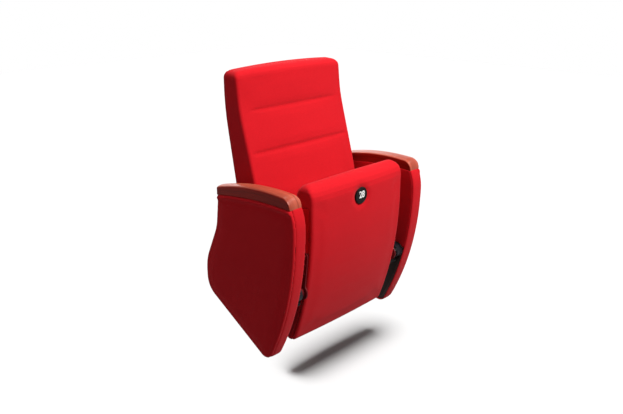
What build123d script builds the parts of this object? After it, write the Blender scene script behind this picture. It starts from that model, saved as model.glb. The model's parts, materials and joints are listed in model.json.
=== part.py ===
from build123d import *
import os
from math import asin, atan, cos, degrees, hypot, pi, radians, sin, sqrt

# A tip-up auditorium seat for a stepped floor: two upholstered side panels with wooden
# armrests, a sewn backrest, and a seat that springs up by itself between the panels.
# Everything is drawn in millimetres, x across, y to the back and z up, from the floor
# (z = 0) and from the front top corner of the side panels (y = 0).  At the end it is
# moved so that the origin lies at the middle of the riser bolts, on the riser's face.
# Pieces that come in pairs are drawn on the +x side and mirrored.

# ---- general ----
TOTAL_WIDTH = 620           # over the two outer pads
PANEL_THICKNESS = 50        # outer pad, wooden core and inner pad together
OUTER_PAD = 10
INNER_PAD = 6
BAND = 3                    # padded fabric strip round the panel's edge
SOFT_GAP = 0.3              # between a soft piece and the curved face it lies on
HOLE_PLAY = 0.1             # radial room round a screw or bolt in its hole
STEEL_PLATE = 6             # stanchion plates and beam ends
RISER_Y = 400               # riser's face behind the panel's front corner
RISER_Z = 290               # riser bolts above the floor
CUT_ROOM = 40               # by which a cutting block reaches past what it cuts

# ---- side panel, seen from the side ----
WAIST_Y, WAIST_Z = -15, 556         # foremost point of the front edge
FRONT_RADIUS = 930                  # front edge below the waist
PANEL_TIP_Z = 95                    # lowest corner, before it is rounded
PANEL_TIP_ROUND = 30
PANEL_REAR = 393                    # rearmost line
REAR_LOW_Z, REAR_HIGH_Z = 266, 364  # ends of that line, before rounding
REAR_LOW_ROUND, REAR_HIGH_ROUND = 70, 150
REAR_NECK_Y, REAR_NECK_Z = 333, 493
PANEL_TOP_REAR = 320
PANEL_TOP_APEX_Y, PANEL_TOP_APEX_Z = 75, 623.5
PANEL_TOP_RADIUS = 1290
OUTER_PAD_ROUND = 6

# ---- armrest ----
ARM_APEX_Y, ARM_APEX_Z = 90, 655.5
ARM_TOP_RADIUS = 870
ARM_FRONT_ROUND = 19
ARM_EDGE_ROUND = 3.5
DOWEL_R = 4
DOWEL_UP, DOWEL_DOWN = 18, 30
DOWEL_SPOTS = (60, 160, 260)

# ---- steel stanchion let into the panel ----
STANCHION_INSET = 14        # from the panel's outline
STANCHION_FRONT_TOP = 384
STANCHION_ARM_FRONT = 226   # upright arm that carries the backrest
STANCHION_ARM_TOP = 585
STANCHION_NECK_Y, STANCHION_NECK_Z = 110, 60     # slope from the front part up to the arm
STANCHION_ROUND = 18
INNER_PAD_BOTTOM = 342
SCREW_R = 3
SCREW_HEAD_R = 6
SCREW_LENGTH = 24
STANCHION_SCREWS = ((118, 168), (110, 250), (210, 330), (286, 430))

# ---- cross beam and riser plates ----
BEAM_Y, BEAM_Z = 306, 296   # middle of the tube
BEAM_DEPTH, BEAM_HEIGHT = 40, 60
BEAM_WALL = 3
BEAM_END_MARGIN = 14        # end plate beyond the tube
BOLT_R = 5
BOLT_HEAD_R, BOLT_HEAD_T = 8.5, 6
BEAM_BOLT_LENGTH = 26
RISER_SPACING = 300         # between the two riser plates
RISER_PLATE = 8
RISER_PLATE_WIDTH, RISER_PLATE_HEIGHT = 90, 150
RISER_PLATE_ROUND = 10
RISER_HOLE_R = 6.5
RISER_HOLE_PITCH = 100
GUSSET = 6
GUSSET_SPACING = 62

# ---- seat, folded up ----
SEAT_SIDE_GAP = 44          # between the seat's side and the inner pad
SEAT_FACE_Y = -3.5          # foremost line of the folded seat
SEAT_FACE_RADIUS = 1130
SEAT_BOTTOM = 139
SEAT_BOTTOM_ROUND = 14
NOSE_RADIUS = 45
NOSE_Z = 622
NOSE_CORNER = 24            # seen from the front
SITTING_LOW_Y = 134         # sitting face at the bottom of the folded seat
SITTING_CROWN = 6           # along the seat
SEAT_FRONT_CROWN, SEAT_BACK_CROWN = 5, 9    # across the seat
SEAT_FRONT_CORNER, SEAT_BACK_CORNER = 9, 18
UNDERSIDE_PAD = 18
SEAT_BOARD = 14
SEAT_SKIRT = 6.3            # upholstery beyond the seat board's side edges
SEAT_BOARD_LOW, SEAT_BOARD_HIGH = 166, 600

# ---- number plate ----
NUMBER_Z = 597
NUMBER_R = 27
NUMBER_T = 4
NUMBER_SUNK = 2.5
NUMBER_PLAY = 1             # between the plate's rim and the cover
NUMBER_RIM = 2.5
NUMBER_PEG_R = 4

# ---- seat pivot ----
PIVOT_Y, PIVOT_Z = 45, 328
SEAT_TRAVEL = 82            # degrees from folded up to sitting
STUD_R = 10
STUD_FLANGE_R = 25
STUD_THREAD_R = 8
STUD_REACH = 7              # from the seat's side to the stud's end
NUT_R, NUT_T = 14, 12
BUSH_PLAY = 0.05
BUSH_WALL = 2
HUB_R = 15.5
HUB_LENGTH = 11
BRACKET = 5
BRACKET_GAP = 0.3           # between the seat's side and the bracket
BRACKET_DISC_R = 26
BRACKET_ARM_HALF = 11
BRACKET_ARM_WIDER = 4       # its front edge starts this much further forward at the disc
BRACKET_SCREW_Z = (392, 420, 448)
BRACKET_SCREW_HEAD = 3
BRACKET_SCREW_SHORT = 4     # left free at the end of the screw's hole
BOSS_R = 6.5
COIL_R = 18
WIRE_R = 2
WIRE_SIDES = 6              # few faces, as the spring is hidden in its cup
COIL_TURNS = 3.5
COIL_PITCH = 5
COIL_END_GAP = 0.7          # between the first turn and the bush
LEG_BEND = 4
COVER_R, COVER_WALL = 23.8, 2.6

# ---- seat stops ----
STOP_RADIUS = 45            # pins from the pivot
STOP_LUG_ANGLE = -50        # lug of the folded seat, from +y towards +z
STOP_LUG_HALF = 8
STOP_PIN_R = 5
STOP_COLLAR_R = 9
STOP_SLEEVE_R = 9
STOP_GAP = 0.3
STOP_REACH = 2.5            # from the seat's side to the stop pins' ends

# ---- backrest ----
BACK_SIDE_GAP = 24          # between the backrest's side and the inner pad
BACK_BOTTOM, BACK_TOP = 428, 980
BELLY_Y, BELLY_Z = 202, 580     # where the front face turns to lean back
NECK_Z = 858                    # where it turns upright
SLOPE_LOW, SLOPE_MID, SLOPE_HIGH = -0.184, 0.2878, 0.088
BELLY_SOFT, NECK_SOFT = 25, 30
BELLY_SPOTS = (-4, -2, -0.7, 0, 0.7, 3)     # in lengths of BELLY_SOFT, where the belly is drawn
BACK_REAR_LOW_Y, BACK_REAR_HIGH_Y = 287, 364
BACK_REAR_TURN_Z = 856
REAR_BEND = 70              # half the height over which the rear turns upright
REAR_BEND_SPOTS = (-1, -0.6, -0.2, 0.2, 0.6, 1)
REAR_COVER = 12
BACK_BOARD = 14
BACK_BOARD_MARGIN = 18
BACK_CROWN, REAR_CROWN = 8, 3
BACK_CORNER, REAR_CORNER = 9, 6
BACK_TOP_ROUND, BACK_TOP_CORNER = 22, 25
BACK_BOTTOM_ROUND = 12
CHANNEL_Z = (722, 850)
CHANNEL_DEPTH = 6
CHANNEL_REACH = 30
CHANNEL_SPOTS = (0, 0.15, 0.4, 1)   # of its reach, where a channel's curve is drawn
SECTION_STEP = 6            # least height between two sections of the cushion

# ---- backrest brackets ----
WING = 5                    # plate bolted to the stanchion
WING_LOW, WING_HIGH = 462, 556
WING_FRONT, WING_REAR = 240, 314
ARM_T = 4                   # plate along the backrest board
ARM_REACH = 64              # from the backrest's side to the arm's end
ARM_INSET = 10              # arm's edges inside the wing's
ARM_PLAY = 0.5
WING_BOLTS = ((262, 486), (272, 534))
BOARD_SCREW_R = 2
BOARD_SCREW_HEAD_R = 5
BOARD_SCREW_SHORT = 6       # wood left before the screw's tip
BOARD_SCREW_X, BOARD_SCREW_Z = 12, 32       # from the arm's end and from the wing's edges

# ---- worked out from the sizes above ----
X_OUT = TOTAL_WIDTH / 2
X_CORE_OUT = X_OUT - OUTER_PAD
X_IN = X_OUT - PANEL_THICKNESS
X_CORE_IN = X_IN + INNER_PAD
X_POCKET = X_CORE_IN + STEEL_PLATE
SEAT_HALF = X_IN - SEAT_SIDE_GAP
SEAT_BOARD_HALF = SEAT_HALF - SEAT_SKIRT
STUD_END_X = SEAT_HALF + STUD_REACH
STOP_END_X = SEAT_HALF + STOP_REACH
BACK_HALF = X_IN - BACK_SIDE_GAP
BACK_BOARD_HALF = BACK_HALF - BACK_BOARD_MARGIN
ARM_INNER_X = BACK_HALF - ARM_REACH
X_BRACKET = SEAT_HALF + BRACKET_GAP
X_BRACKET_OUT = X_BRACKET + BRACKET
NOSE_Y = SEAT_FACE_Y + NOSE_RADIUS
SITTING_HIGH_Y = NOSE_Y + NOSE_RADIUS

spring_gaps = []


# ---------------------------------------------------------------- helpers
def slab(outline, x_from, x_to):
    """A side-view outline given thickness across the seat."""
    return extrude(Plane.YZ.offset(x_from) * outline, amount=x_to - x_from, dir=(1, 0, 0))


def rod(y, z, radius, x_from, x_to):
    """A round bar across the seat."""
    return slab(Pos(y, z) * Circle(radius), x_from, x_to)


def tube(y, z, outer, inner, x_from, x_to):
    return slab(Pos(y, z) * (Circle(outer) - Circle(inner)), x_from, x_to)


def polygon(*points):
    return make_face(Polyline(*points, close=True))


def rounded(face, corners):
    """Rounds chosen corners of a flat outline, given as (point, radius)."""
    for point, radius in corners:
        face = fillet(face.vertices().sort_by_distance(Vector(*point))[0], radius)
    return face


def bow(height, radius):
    """How far an arc has moved sideways at this height from its tangent point."""
    return radius - sqrt(radius**2 - height**2)


def hex_bolt(y, z, x_seat, shank_r, head_r, head_t, length):
    """A hexagon bolt whose head lies on the inner side of x_seat."""
    head = slab(Pos(y, z) * RegularPolygon(head_r, 6), x_seat - head_t, x_seat)
    return head + rod(y, z, shank_r, x_seat, x_seat + length)


def flush_screw(head_r, shank_r, length):
    """A countersunk screw along +x whose head ends flush at the origin."""
    cone = head_r - shank_r
    side = polygon((0, 0), (0, head_r), (cone, shank_r), (length, shank_r), (length, 0))
    return revolve(side, Axis.X)


def group(pieces):
    return Compound(children=list(pieces))


# ---------------------------------------------------------------- side panels
def panel_face(raised=0):
    """The panel's outline; raised lifts its top edge, for an inset that spares the top."""
    def front_y(z):
        return WAIST_Y + bow(WAIST_Z - z, FRONT_RADIUS)

    top_front = (0, PANEL_TOP_APEX_Z - bow(PANEL_TOP_APEX_Y, PANEL_TOP_RADIUS))
    top_rear = (PANEL_TOP_REAR, PANEL_TOP_APEX_Z - bow(PANEL_TOP_REAR - PANEL_TOP_APEX_Y, PANEL_TOP_RADIUS))
    tip = (front_y(PANEL_TIP_Z), PANEL_TIP_Z)
    low_mid = (front_y((PANEL_TIP_Z + WAIST_Z) / 2), (PANEL_TIP_Z + WAIST_Z) / 2)
    rear_low, rear_high = (PANEL_REAR, REAR_LOW_Z), (PANEL_REAR, REAR_HIGH_Z)
    neck = (REAR_NECK_Y, REAR_NECK_Z)
    waist = (WAIST_Y, WAIST_Z)
    edges = [
        ThreePointArc(tip, low_mid, waist),
        TangentArc(waist, top_front, tangent=(0, 1)),
        Polyline(top_rear, neck, rear_high, rear_low, tip),
    ]
    if raised:
        lift = Vector(0, raised)
        edges.append(Polyline(top_front, Vector(*top_front) + lift, Vector(*top_rear) + lift, top_rear))
    else:
        apex = (PANEL_TOP_APEX_Y, PANEL_TOP_APEX_Z)
        edges.append(ThreePointArc(top_front, apex, top_rear))
    corners = [
        (tip, PANEL_TIP_ROUND),
        (rear_low, REAR_LOW_ROUND),
        (rear_high, REAR_HIGH_ROUND),
        (neck, REAR_HIGH_ROUND),
    ]
    return rounded(make_face(edges), corners)


def inset_panel(amount):
    """The panel's outline drawn in everywhere but along its top."""
    return offset(panel_face(raised=CUT_ROOM), -amount, kind=Kind.INTERSECTION) & panel_face()


def stanchion_face(play=0):
    """The steel plate: it follows the panel's edge and sends an arm up to the backrest."""
    low, high = PANEL_TIP_Z - CUT_ROOM, STANCHION_ARM_TOP
    front, rear = WAIST_Y - CUT_ROOM, PANEL_REAR + CUT_ROOM
    neck_y, neck_z = STANCHION_ARM_FRONT - STANCHION_NECK_Y, STANCHION_FRONT_TOP + STANCHION_NECK_Z
    below = polygon(
        (front, low),
        (rear, low),
        (rear, high),
        (STANCHION_ARM_FRONT, high),
        (STANCHION_ARM_FRONT, neck_z),
        (neck_y, STANCHION_FRONT_TOP),
        (front, STANCHION_FRONT_TOP),
    )
    corners = [
        ((0, STANCHION_FRONT_TOP), STANCHION_ROUND),
        ((STANCHION_ARM_FRONT, high), STANCHION_ROUND),
        ((PANEL_REAR, high), STANCHION_ROUND),
        ((STANCHION_ARM_FRONT, neck_z), STANCHION_ROUND),
    ]
    plate = rounded(inset_panel(STANCHION_INSET) & below, corners)
    return offset(plate, play, kind=Kind.INTERSECTION) if play else plate


def stop_angle():
    """Angle between the lug's middle and a pin that it touches."""
    return degrees(asin((STOP_LUG_HALF + STOP_SLEEVE_R + STOP_GAP) / STOP_RADIUS))


def stop_places():
    """Where the two stop pins stand, for the folded and for the lowered seat."""
    folded = radians(STOP_LUG_ANGLE - stop_angle())
    lowered = radians(STOP_LUG_ANGLE + SEAT_TRAVEL + stop_angle())
    return [(PIVOT_Y + STOP_RADIUS * cos(a), PIVOT_Z + STOP_RADIUS * sin(a)) for a in (folded, lowered)]


def beam_bolt_places():
    half_y = BEAM_DEPTH / 2 + BEAM_END_MARGIN / 2
    half_z = BEAM_HEIGHT / 2 + BEAM_END_MARGIN / 2
    return [(BEAM_Y + a * half_y, BEAM_Z + b * half_z) for a in (-1, 1) for b in (-1, 1)]


def dowel_foot(y):
    """Height of the joint between panel and armrest."""
    return PANEL_TOP_APEX_Z - bow(y - PANEL_TOP_APEX_Y, PANEL_TOP_RADIUS)


def dowel(y, extra=0):
    """One upright dowel between panel and armrest."""
    middle = (X_CORE_IN + X_CORE_OUT) / 2
    foot = dowel_foot(y)
    length = DOWEL_UP + DOWEL_DOWN + 2 * extra
    base = Pos(middle, y, foot - DOWEL_DOWN - extra)
    return base * Cylinder(DOWEL_R + extra, length, align=(Align.CENTER, Align.CENTER, Align.MIN))


def side_core():
    core = slab(inset_panel(BAND + SOFT_GAP), X_CORE_IN, X_CORE_OUT)
    core -= slab(stanchion_face(play=0.5), X_CORE_IN, X_POCKET)
    core -= rod(PIVOT_Y, PIVOT_Z, NUT_R + 2, X_POCKET, X_POCKET + NUT_T + 3)
    for y, z in stop_places():
        core -= rod(y, z, STOP_PIN_R + 1, X_POCKET, X_POCKET + 6)
    for y, z in beam_bolt_places():
        core -= rod(y, z, BOLT_R + 0.5, X_POCKET, X_IN + BEAM_BOLT_LENGTH + 3)
    for y, z in WING_BOLTS:
        core -= rod(y, z, BOLT_R + 0.5, X_POCKET, X_IN + BEAM_BOLT_LENGTH + 3)
    for y, z in STANCHION_SCREWS:
        core -= rod(y, z, SCREW_R + HOLE_PLAY, X_POCKET, X_CORE_IN + SCREW_LENGTH + 1)
    for y in DOWEL_SPOTS:
        core -= dowel(y, HOLE_PLAY)
    return core


def outer_pad():
    """The puffed outer face, rounded all round its edge."""
    pad = slab(panel_face(), X_CORE_OUT, X_OUT)
    rim = pad.faces().sort_by(Axis.X)[-1].edges()
    return fillet(rim, OUTER_PAD_ROUND)


def inner_pad():
    """Thin padding over the upper inner face, open at the pivot, the stop and the bracket."""
    front, rear, top = WAIST_Y - CUT_ROOM, PANEL_REAR + CUT_ROOM, PANEL_TOP_APEX_Z + CUT_ROOM
    above = polygon((front, INNER_PAD_BOTTOM), (rear, INNER_PAD_BOTTOM), (rear, top), (front, top))
    pad = slab(inset_panel(BAND + SOFT_GAP) & above, X_IN, X_CORE_IN)
    pad -= rod(PIVOT_Y, PIVOT_Z, STUD_FLANGE_R + 2, X_IN, X_CORE_IN)
    for y, z in stop_places():
        pad -= rod(y, z, STOP_COLLAR_R + 1, X_IN, X_CORE_IN)
    wing = offset(wing_face(), 1, kind=Kind.INTERSECTION)
    pad -= slab(wing, X_IN, X_CORE_IN)
    return pad


def edge_band():
    """Padded strip round the panel's front, underside and rear."""
    return slab(panel_face() - inset_panel(BAND), X_IN, X_CORE_OUT)


def armrest():
    """Bowed wooden arm, rounded over its front end and along its upper edges."""
    def top_z(y):
        return ARM_APEX_Z - bow(y - ARM_APEX_Y, ARM_TOP_RADIUS)

    def foot_z(y):
        return dowel_foot(y) + SOFT_GAP

    rear = PANEL_TOP_REAR
    foot = ThreePointArc((0, foot_z(0)), (PANEL_TOP_APEX_Y, foot_z(PANEL_TOP_APEX_Y)), (rear, foot_z(rear)))
    top = ThreePointArc((0, top_z(0)), (ARM_APEX_Y, top_z(ARM_APEX_Y)), (rear, top_z(rear)))
    outline = make_face([foot, top, Line(foot @ 0, top @ 0), Line(foot @ 1, top @ 1)])
    outline = rounded(outline, [((0, top_z(0)), ARM_FRONT_ROUND)])
    arm = slab(outline, X_IN, X_OUT)
    upper = arm.faces().filter_by(lambda f: abs(f.normal_at().X) < 0.5)
    upper = upper.filter_by(lambda f: f.center().Z > foot_z(0) + 2 and f.center().Y < rear - 2)
    long_edges = [e for e in upper.edges() if abs(abs(e.center().X - (X_IN + X_OUT) / 2) - PANEL_THICKNESS / 2) < 0.1]
    arm = fillet(long_edges, ARM_EDGE_ROUND)
    for y in DOWEL_SPOTS:
        arm -= dowel(y, HOLE_PLAY)
    return arm


def stanchion():
    plate = slab(stanchion_face(), X_CORE_IN, X_POCKET)
    plate -= rod(PIVOT_Y, PIVOT_Z, STUD_THREAD_R + HOLE_PLAY, X_CORE_IN, X_POCKET)
    for y, z in stop_places():
        plate -= rod(y, z, STOP_PIN_R - 1 + HOLE_PLAY, X_CORE_IN, X_POCKET)
    for y, z in beam_bolt_places() + list(WING_BOLTS):
        plate -= rod(y, z, BOLT_R + HOLE_PLAY, X_CORE_IN, X_POCKET)
    sink = Pos(X_CORE_IN, 0, 0) * flush_screw(SCREW_HEAD_R + HOLE_PLAY, SCREW_R + HOLE_PLAY, SCREW_LENGTH)
    for y, z in STANCHION_SCREWS:
        plate -= Pos(0, y, z) * sink
    return plate


def stanchion_screws():
    screw = Pos(X_CORE_IN, 0, 0) * flush_screw(SCREW_HEAD_R, SCREW_R, SCREW_LENGTH)
    return group(Pos(0, y, z) * screw for y, z in STANCHION_SCREWS)


def armrest_dowels():
    return group(dowel(y) for y in DOWEL_SPOTS)


# ---------------------------------------------------------------- beam and riser
def cross_beam():
    """Rectangular tube between the two end plates, with rounded long edges."""
    outer = Pos(BEAM_Y, BEAM_Z) * RectangleRounded(BEAM_DEPTH, BEAM_HEIGHT, 2 * BEAM_WALL)
    inner = Pos(BEAM_Y, BEAM_Z) * RectangleRounded(BEAM_DEPTH - 2 * BEAM_WALL, BEAM_HEIGHT - 2 * BEAM_WALL, BEAM_WALL)
    return slab(outer - inner, -X_IN, X_IN)


def beam_end():
    width, height = BEAM_DEPTH + 2 * BEAM_END_MARGIN, BEAM_HEIGHT + 2 * BEAM_END_MARGIN
    end = slab(Pos(BEAM_Y, BEAM_Z) * RectangleRounded(width, height, RISER_PLATE_ROUND), X_IN, X_CORE_IN)
    for y, z in beam_bolt_places():
        end -= rod(y, z, BOLT_R + HOLE_PLAY, X_IN, X_CORE_IN)
    return end


def beam_bolts():
    return group(
        hex_bolt(y, z, X_IN, BOLT_R, BOLT_HEAD_R, BOLT_HEAD_T, BEAM_BOLT_LENGTH) for y, z in beam_bolt_places()
    )


def riser_plate():
    """Plate that is bolted to the step's riser, with two holes on its middle line."""
    outline = RectangleRounded(RISER_PLATE_WIDTH, RISER_PLATE_HEIGHT, RISER_PLATE_ROUND)
    for side in (-1, 1):
        outline -= Pos(0, side * RISER_HOLE_PITCH / 2) * Circle(RISER_HOLE_R)
    spot = Plane(origin=(RISER_SPACING / 2, RISER_Y, RISER_Z), x_dir=(1, 0, 0), z_dir=(0, -1, 0))
    return extrude(spot * outline, amount=RISER_PLATE, dir=(0, -1, 0))


def riser_gussets():
    """Two upright plates from the beam's rear face to the riser plate."""
    near, far = BEAM_Y + BEAM_DEPTH / 2, RISER_Y - RISER_PLATE
    low, high = BEAM_HEIGHT / 2 - 2 * BEAM_WALL, RISER_PLATE_HEIGHT / 2 - RISER_PLATE_ROUND
    web = polygon(
        (near, RISER_Z - low),
        (far, RISER_Z - high),
        (far, RISER_Z + high),
        (near, RISER_Z + low),
    )
    middles = [RISER_SPACING / 2 + side * GUSSET_SPACING / 2 for side in (-1, 1)]
    return group(slab(web, x - GUSSET / 2, x + GUSSET / 2) for x in middles)


# ---------------------------------------------------------------- cushions
def pillow_section(z, half, front, back, crowns, corners):
    """A level cut through a cushion: straight sides, round corners, bowed front and back."""
    room = (back - front) / 2
    front_crown, back_crown = [min(c, 0.25 * room) for c in crowns]
    front_corner, back_corner = [min(c, 0.7 * room) for c in corners]
    short = 1 - cos(pi / 4)
    edges = []
    for face_y, crown, corner, way in ((front, front_crown, front_corner, 1), (back, back_crown, back_corner, -1)):
        edge_y = face_y + way * crown
        inner, outer = half - corner, edge_y + way * corner
        edges.append(ThreePointArc((-inner, edge_y), (0, face_y), (inner, edge_y)))
        for side in (-1, 1):
            middle = (side * (half - short * corner), edge_y + way * short * corner)
            edges.append(ThreePointArc((side * inner, edge_y), middle, (side * half, outer)))
    low = front + front_crown + front_corner
    high = back - back_crown - back_corner
    edges += [Line((side * half, low), (side * half, high)) for side in (-1, 1)]
    return Plane.XY.offset(z) * make_face(edges)


def seat_front_y(z):
    """Front face of the folded seat: upright at the top, swept back below."""
    return SEAT_FACE_Y + bow(max(0, WAIST_Z - z), SEAT_FACE_RADIUS)


def sitting_y(z):
    """Sitting face of the folded seat, slightly full along its length."""
    share = (z - SEAT_BOTTOM) / (NOSE_Z - SEAT_BOTTOM)
    return SITTING_LOW_Y + share * (SITTING_HIGH_Y - SITTING_LOW_Y) + SITTING_CROWN * 4 * share * (1 - share)


def seat_envelope():
    """The whole upholstered seat as one body, before it is divided."""
    crowns, corners = (SEAT_FRONT_CROWN, SEAT_BACK_CROWN), (SEAT_FRONT_CORNER, SEAT_BACK_CORNER)
    sections = []
    for angle in (90, 60, 30):
        z = SEAT_BOTTOM + SEAT_BOTTOM_ROUND * (1 - sin(radians(angle)))
        inset = SEAT_BOTTOM_ROUND * (1 - cos(radians(angle)))
        front, back = seat_front_y(z) + inset, sitting_y(z) - inset
        sections.append(pillow_section(z, SEAT_HALF - inset / 4, front, back, crowns, corners))
    low = SEAT_BOTTOM + SEAT_BOTTOM_ROUND
    steps = 10
    for i in range(steps + 1):
        z = low + (NOSE_Z - low) * i / steps
        sections.append(pillow_section(z, SEAT_HALF, seat_front_y(z), sitting_y(z), crowns, corners))
    for angle in (18, 36, 52, 66, 78, 86):
        z = NOSE_Z + NOSE_RADIUS * sin(radians(angle))
        reach = NOSE_RADIUS * cos(radians(angle))
        above = max(0, z - (NOSE_Z + NOSE_RADIUS - NOSE_CORNER))
        half = SEAT_HALF - bow(above, NOSE_CORNER)
        sections.append(pillow_section(z, half, NOSE_Y - reach, NOSE_Y + reach, crowns, corners))
    return loft(sections, ruled=True)


def seat_strip(front_depth, back_depth, low, high):
    """Side-view strip that lies between two depths behind the seat's front face."""
    mid = (low + WAIST_Z) / 2

    def arc(depth):
        spots = [(seat_front_y(z) + depth, z) for z in (low, mid, WAIST_Z)]
        return ThreePointArc(*spots)

    front, back = arc(front_depth), arc(back_depth)
    face_top = (SEAT_FACE_Y + front_depth, high)
    back_top = (SEAT_FACE_Y + back_depth, high)
    return make_face([front, back, Line(front @ 0, back @ 0), Polyline(front @ 1, face_top, back_top, back @ 1)])


def seat_board():
    """Moulded plywood shell that carries both upholstered halves of the seat."""
    strip = seat_strip(UNDERSIDE_PAD, UNDERSIDE_PAD + SEAT_BOARD, SEAT_BOARD_LOW, SEAT_BOARD_HIGH)
    board = slab(strip, -SEAT_BOARD_HALF, SEAT_BOARD_HALF)
    board -= number_peg(HOLE_PLAY)
    for side in (-1, 1):
        for y, z in bracket_screw_places():
            board -= rod(y, z, SCREW_R + HOLE_PLAY, side * (SEAT_BOARD_HALF - SCREW_LENGTH), side * SEAT_BOARD_HALF)
    return board


def front_region():
    """What belongs to the seat's front cover: the face before the board and the whole nose."""
    low, high = SEAT_BOTTOM - CUT_ROOM, SEAT_BOARD_HIGH + SOFT_GAP
    strip = seat_strip(-CUT_ROOM, UNDERSIDE_PAD - SOFT_GAP, low, high)
    front, rear, top = SEAT_FACE_Y - CUT_ROOM, SITTING_HIGH_Y + 2 * CUT_ROOM, NOSE_Z + NOSE_RADIUS + CUT_ROOM
    nose = polygon((front, high), (rear, high), (rear, top), (front, top))
    return slab(strip + nose, -SEAT_HALF - CUT_ROOM, SEAT_HALF + CUT_ROOM)


def back_region():
    """What lies behind the front cover, with the same gap to it on every side."""
    strip = seat_strip(UNDERSIDE_PAD, SITTING_LOW_Y + CUT_ROOM, SEAT_BOTTOM - CUT_ROOM, SEAT_BOARD_HIGH)
    return slab(strip, -SEAT_HALF - CUT_ROOM, SEAT_HALF + CUT_ROOM)


def seat_halves():
    whole = seat_envelope()
    front = whole & front_region()
    front -= number_peg(HOLE_PLAY)
    depth = CUT_ROOM + NUMBER_SUNK + SOFT_GAP
    hole = Cylinder(NUMBER_R + NUMBER_PLAY, depth, align=(Align.CENTER, Align.CENTER, Align.MIN))
    front -= Pos(0, number_face_y() - CUT_ROOM, NUMBER_Z) * Rot(-90, 0, 0) * hole
    back = whole & back_region()
    pocket = seat_strip(0, UNDERSIDE_PAD + SEAT_BOARD + SOFT_GAP, SEAT_BOARD_LOW - SOFT_GAP, SEAT_BOARD_HIGH)
    back -= slab(pocket, -SEAT_BOARD_HALF - SOFT_GAP, SEAT_BOARD_HALF + SOFT_GAP)
    for side in (-1, 1):
        for y, z in bracket_screw_places():
            back -= rod(y, z, BOSS_R + SOFT_GAP, side * (SEAT_BOARD_HALF - 1), side * (SEAT_HALF + 1))
    return front, back


# ---------------------------------------------------------------- number plate
def number_face_y():
    return seat_front_y(NUMBER_Z)


def number_peg(play=0):
    """Peg that holds the number plate in the seat board."""
    start = number_face_y() + NUMBER_SUNK
    end = number_face_y() + UNDERSIDE_PAD + SEAT_BOARD - 2
    peg = Cylinder(NUMBER_PEG_R + play, end - start + play, align=(Align.CENTER, Align.CENTER, Align.MIN))
    return Pos(0, start, NUMBER_Z) * Rot(-90, 0, 0) * peg


def number_plate():
    """Round plate with a raised rim, sunk a little into the front cover."""
    back = NUMBER_SUNK
    front = back - NUMBER_T
    side = make_face(
        Polyline(
            (0, back),
            (NUMBER_R - 1, back),
            (NUMBER_R, back - 1),
            (NUMBER_R, front + 1.2),
            (NUMBER_R - 1, front),
            (NUMBER_R - NUMBER_RIM, front),
            (NUMBER_R - NUMBER_RIM - 0.8, front + 0.8),
            (0, front + 0.8),
            close=True,
        )
    )
    disc = revolve(side, Axis.Y)
    return Pos(0, number_face_y(), NUMBER_Z) * disc + number_peg()


# ---------------------------------------------------------------- pivot
def pivot_stud():
    """Flanged stud on the stanchion: shaft inward, thread outward through the plate."""
    stud = rod(PIVOT_Y, PIVOT_Z, STUD_FLANGE_R, X_IN, X_CORE_IN)
    stud += rod(PIVOT_Y, PIVOT_Z, STUD_THREAD_R, X_CORE_IN, X_POCKET + NUT_T + 2)
    stud += rod(PIVOT_Y, PIVOT_Z, STUD_R, STUD_END_X, X_IN)
    end = stud.faces().sort_by(Axis.X)[0].edges()
    stud = chamfer(end, 1)
    y, z = spring_leg_place(spring_turned())
    return stud - rod(y, z, WIRE_R + 0.4, X_IN, X_CORE_IN)


def stud_nut():
    nut = slab(Pos(PIVOT_Y, PIVOT_Z) * RegularPolygon(NUT_R, 6), X_POCKET, X_POCKET + NUT_T)
    return nut - rod(PIVOT_Y, PIVOT_Z, STUD_THREAD_R + HOLE_PLAY, X_POCKET, X_POCKET + NUT_T)


def pivot_bush():
    """Flanged nylon bush that turns on the stud."""
    bore = STUD_R + BUSH_PLAY
    hub_end = X_BRACKET_OUT + HUB_LENGTH
    bush = tube(PIVOT_Y, PIVOT_Z, bore + BUSH_WALL, bore, X_BRACKET + 1, hub_end)
    return bush + tube(PIVOT_Y, PIVOT_Z, HUB_R - 0.5, bore, hub_end, hub_end + BUSH_WALL)


def bracket_screw_places():
    """Screws follow the middle of the seat board's edge."""
    return [(seat_front_y(z) + UNDERSIDE_PAD + SEAT_BOARD / 2, z) for z in BRACKET_SCREW_Z]


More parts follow.
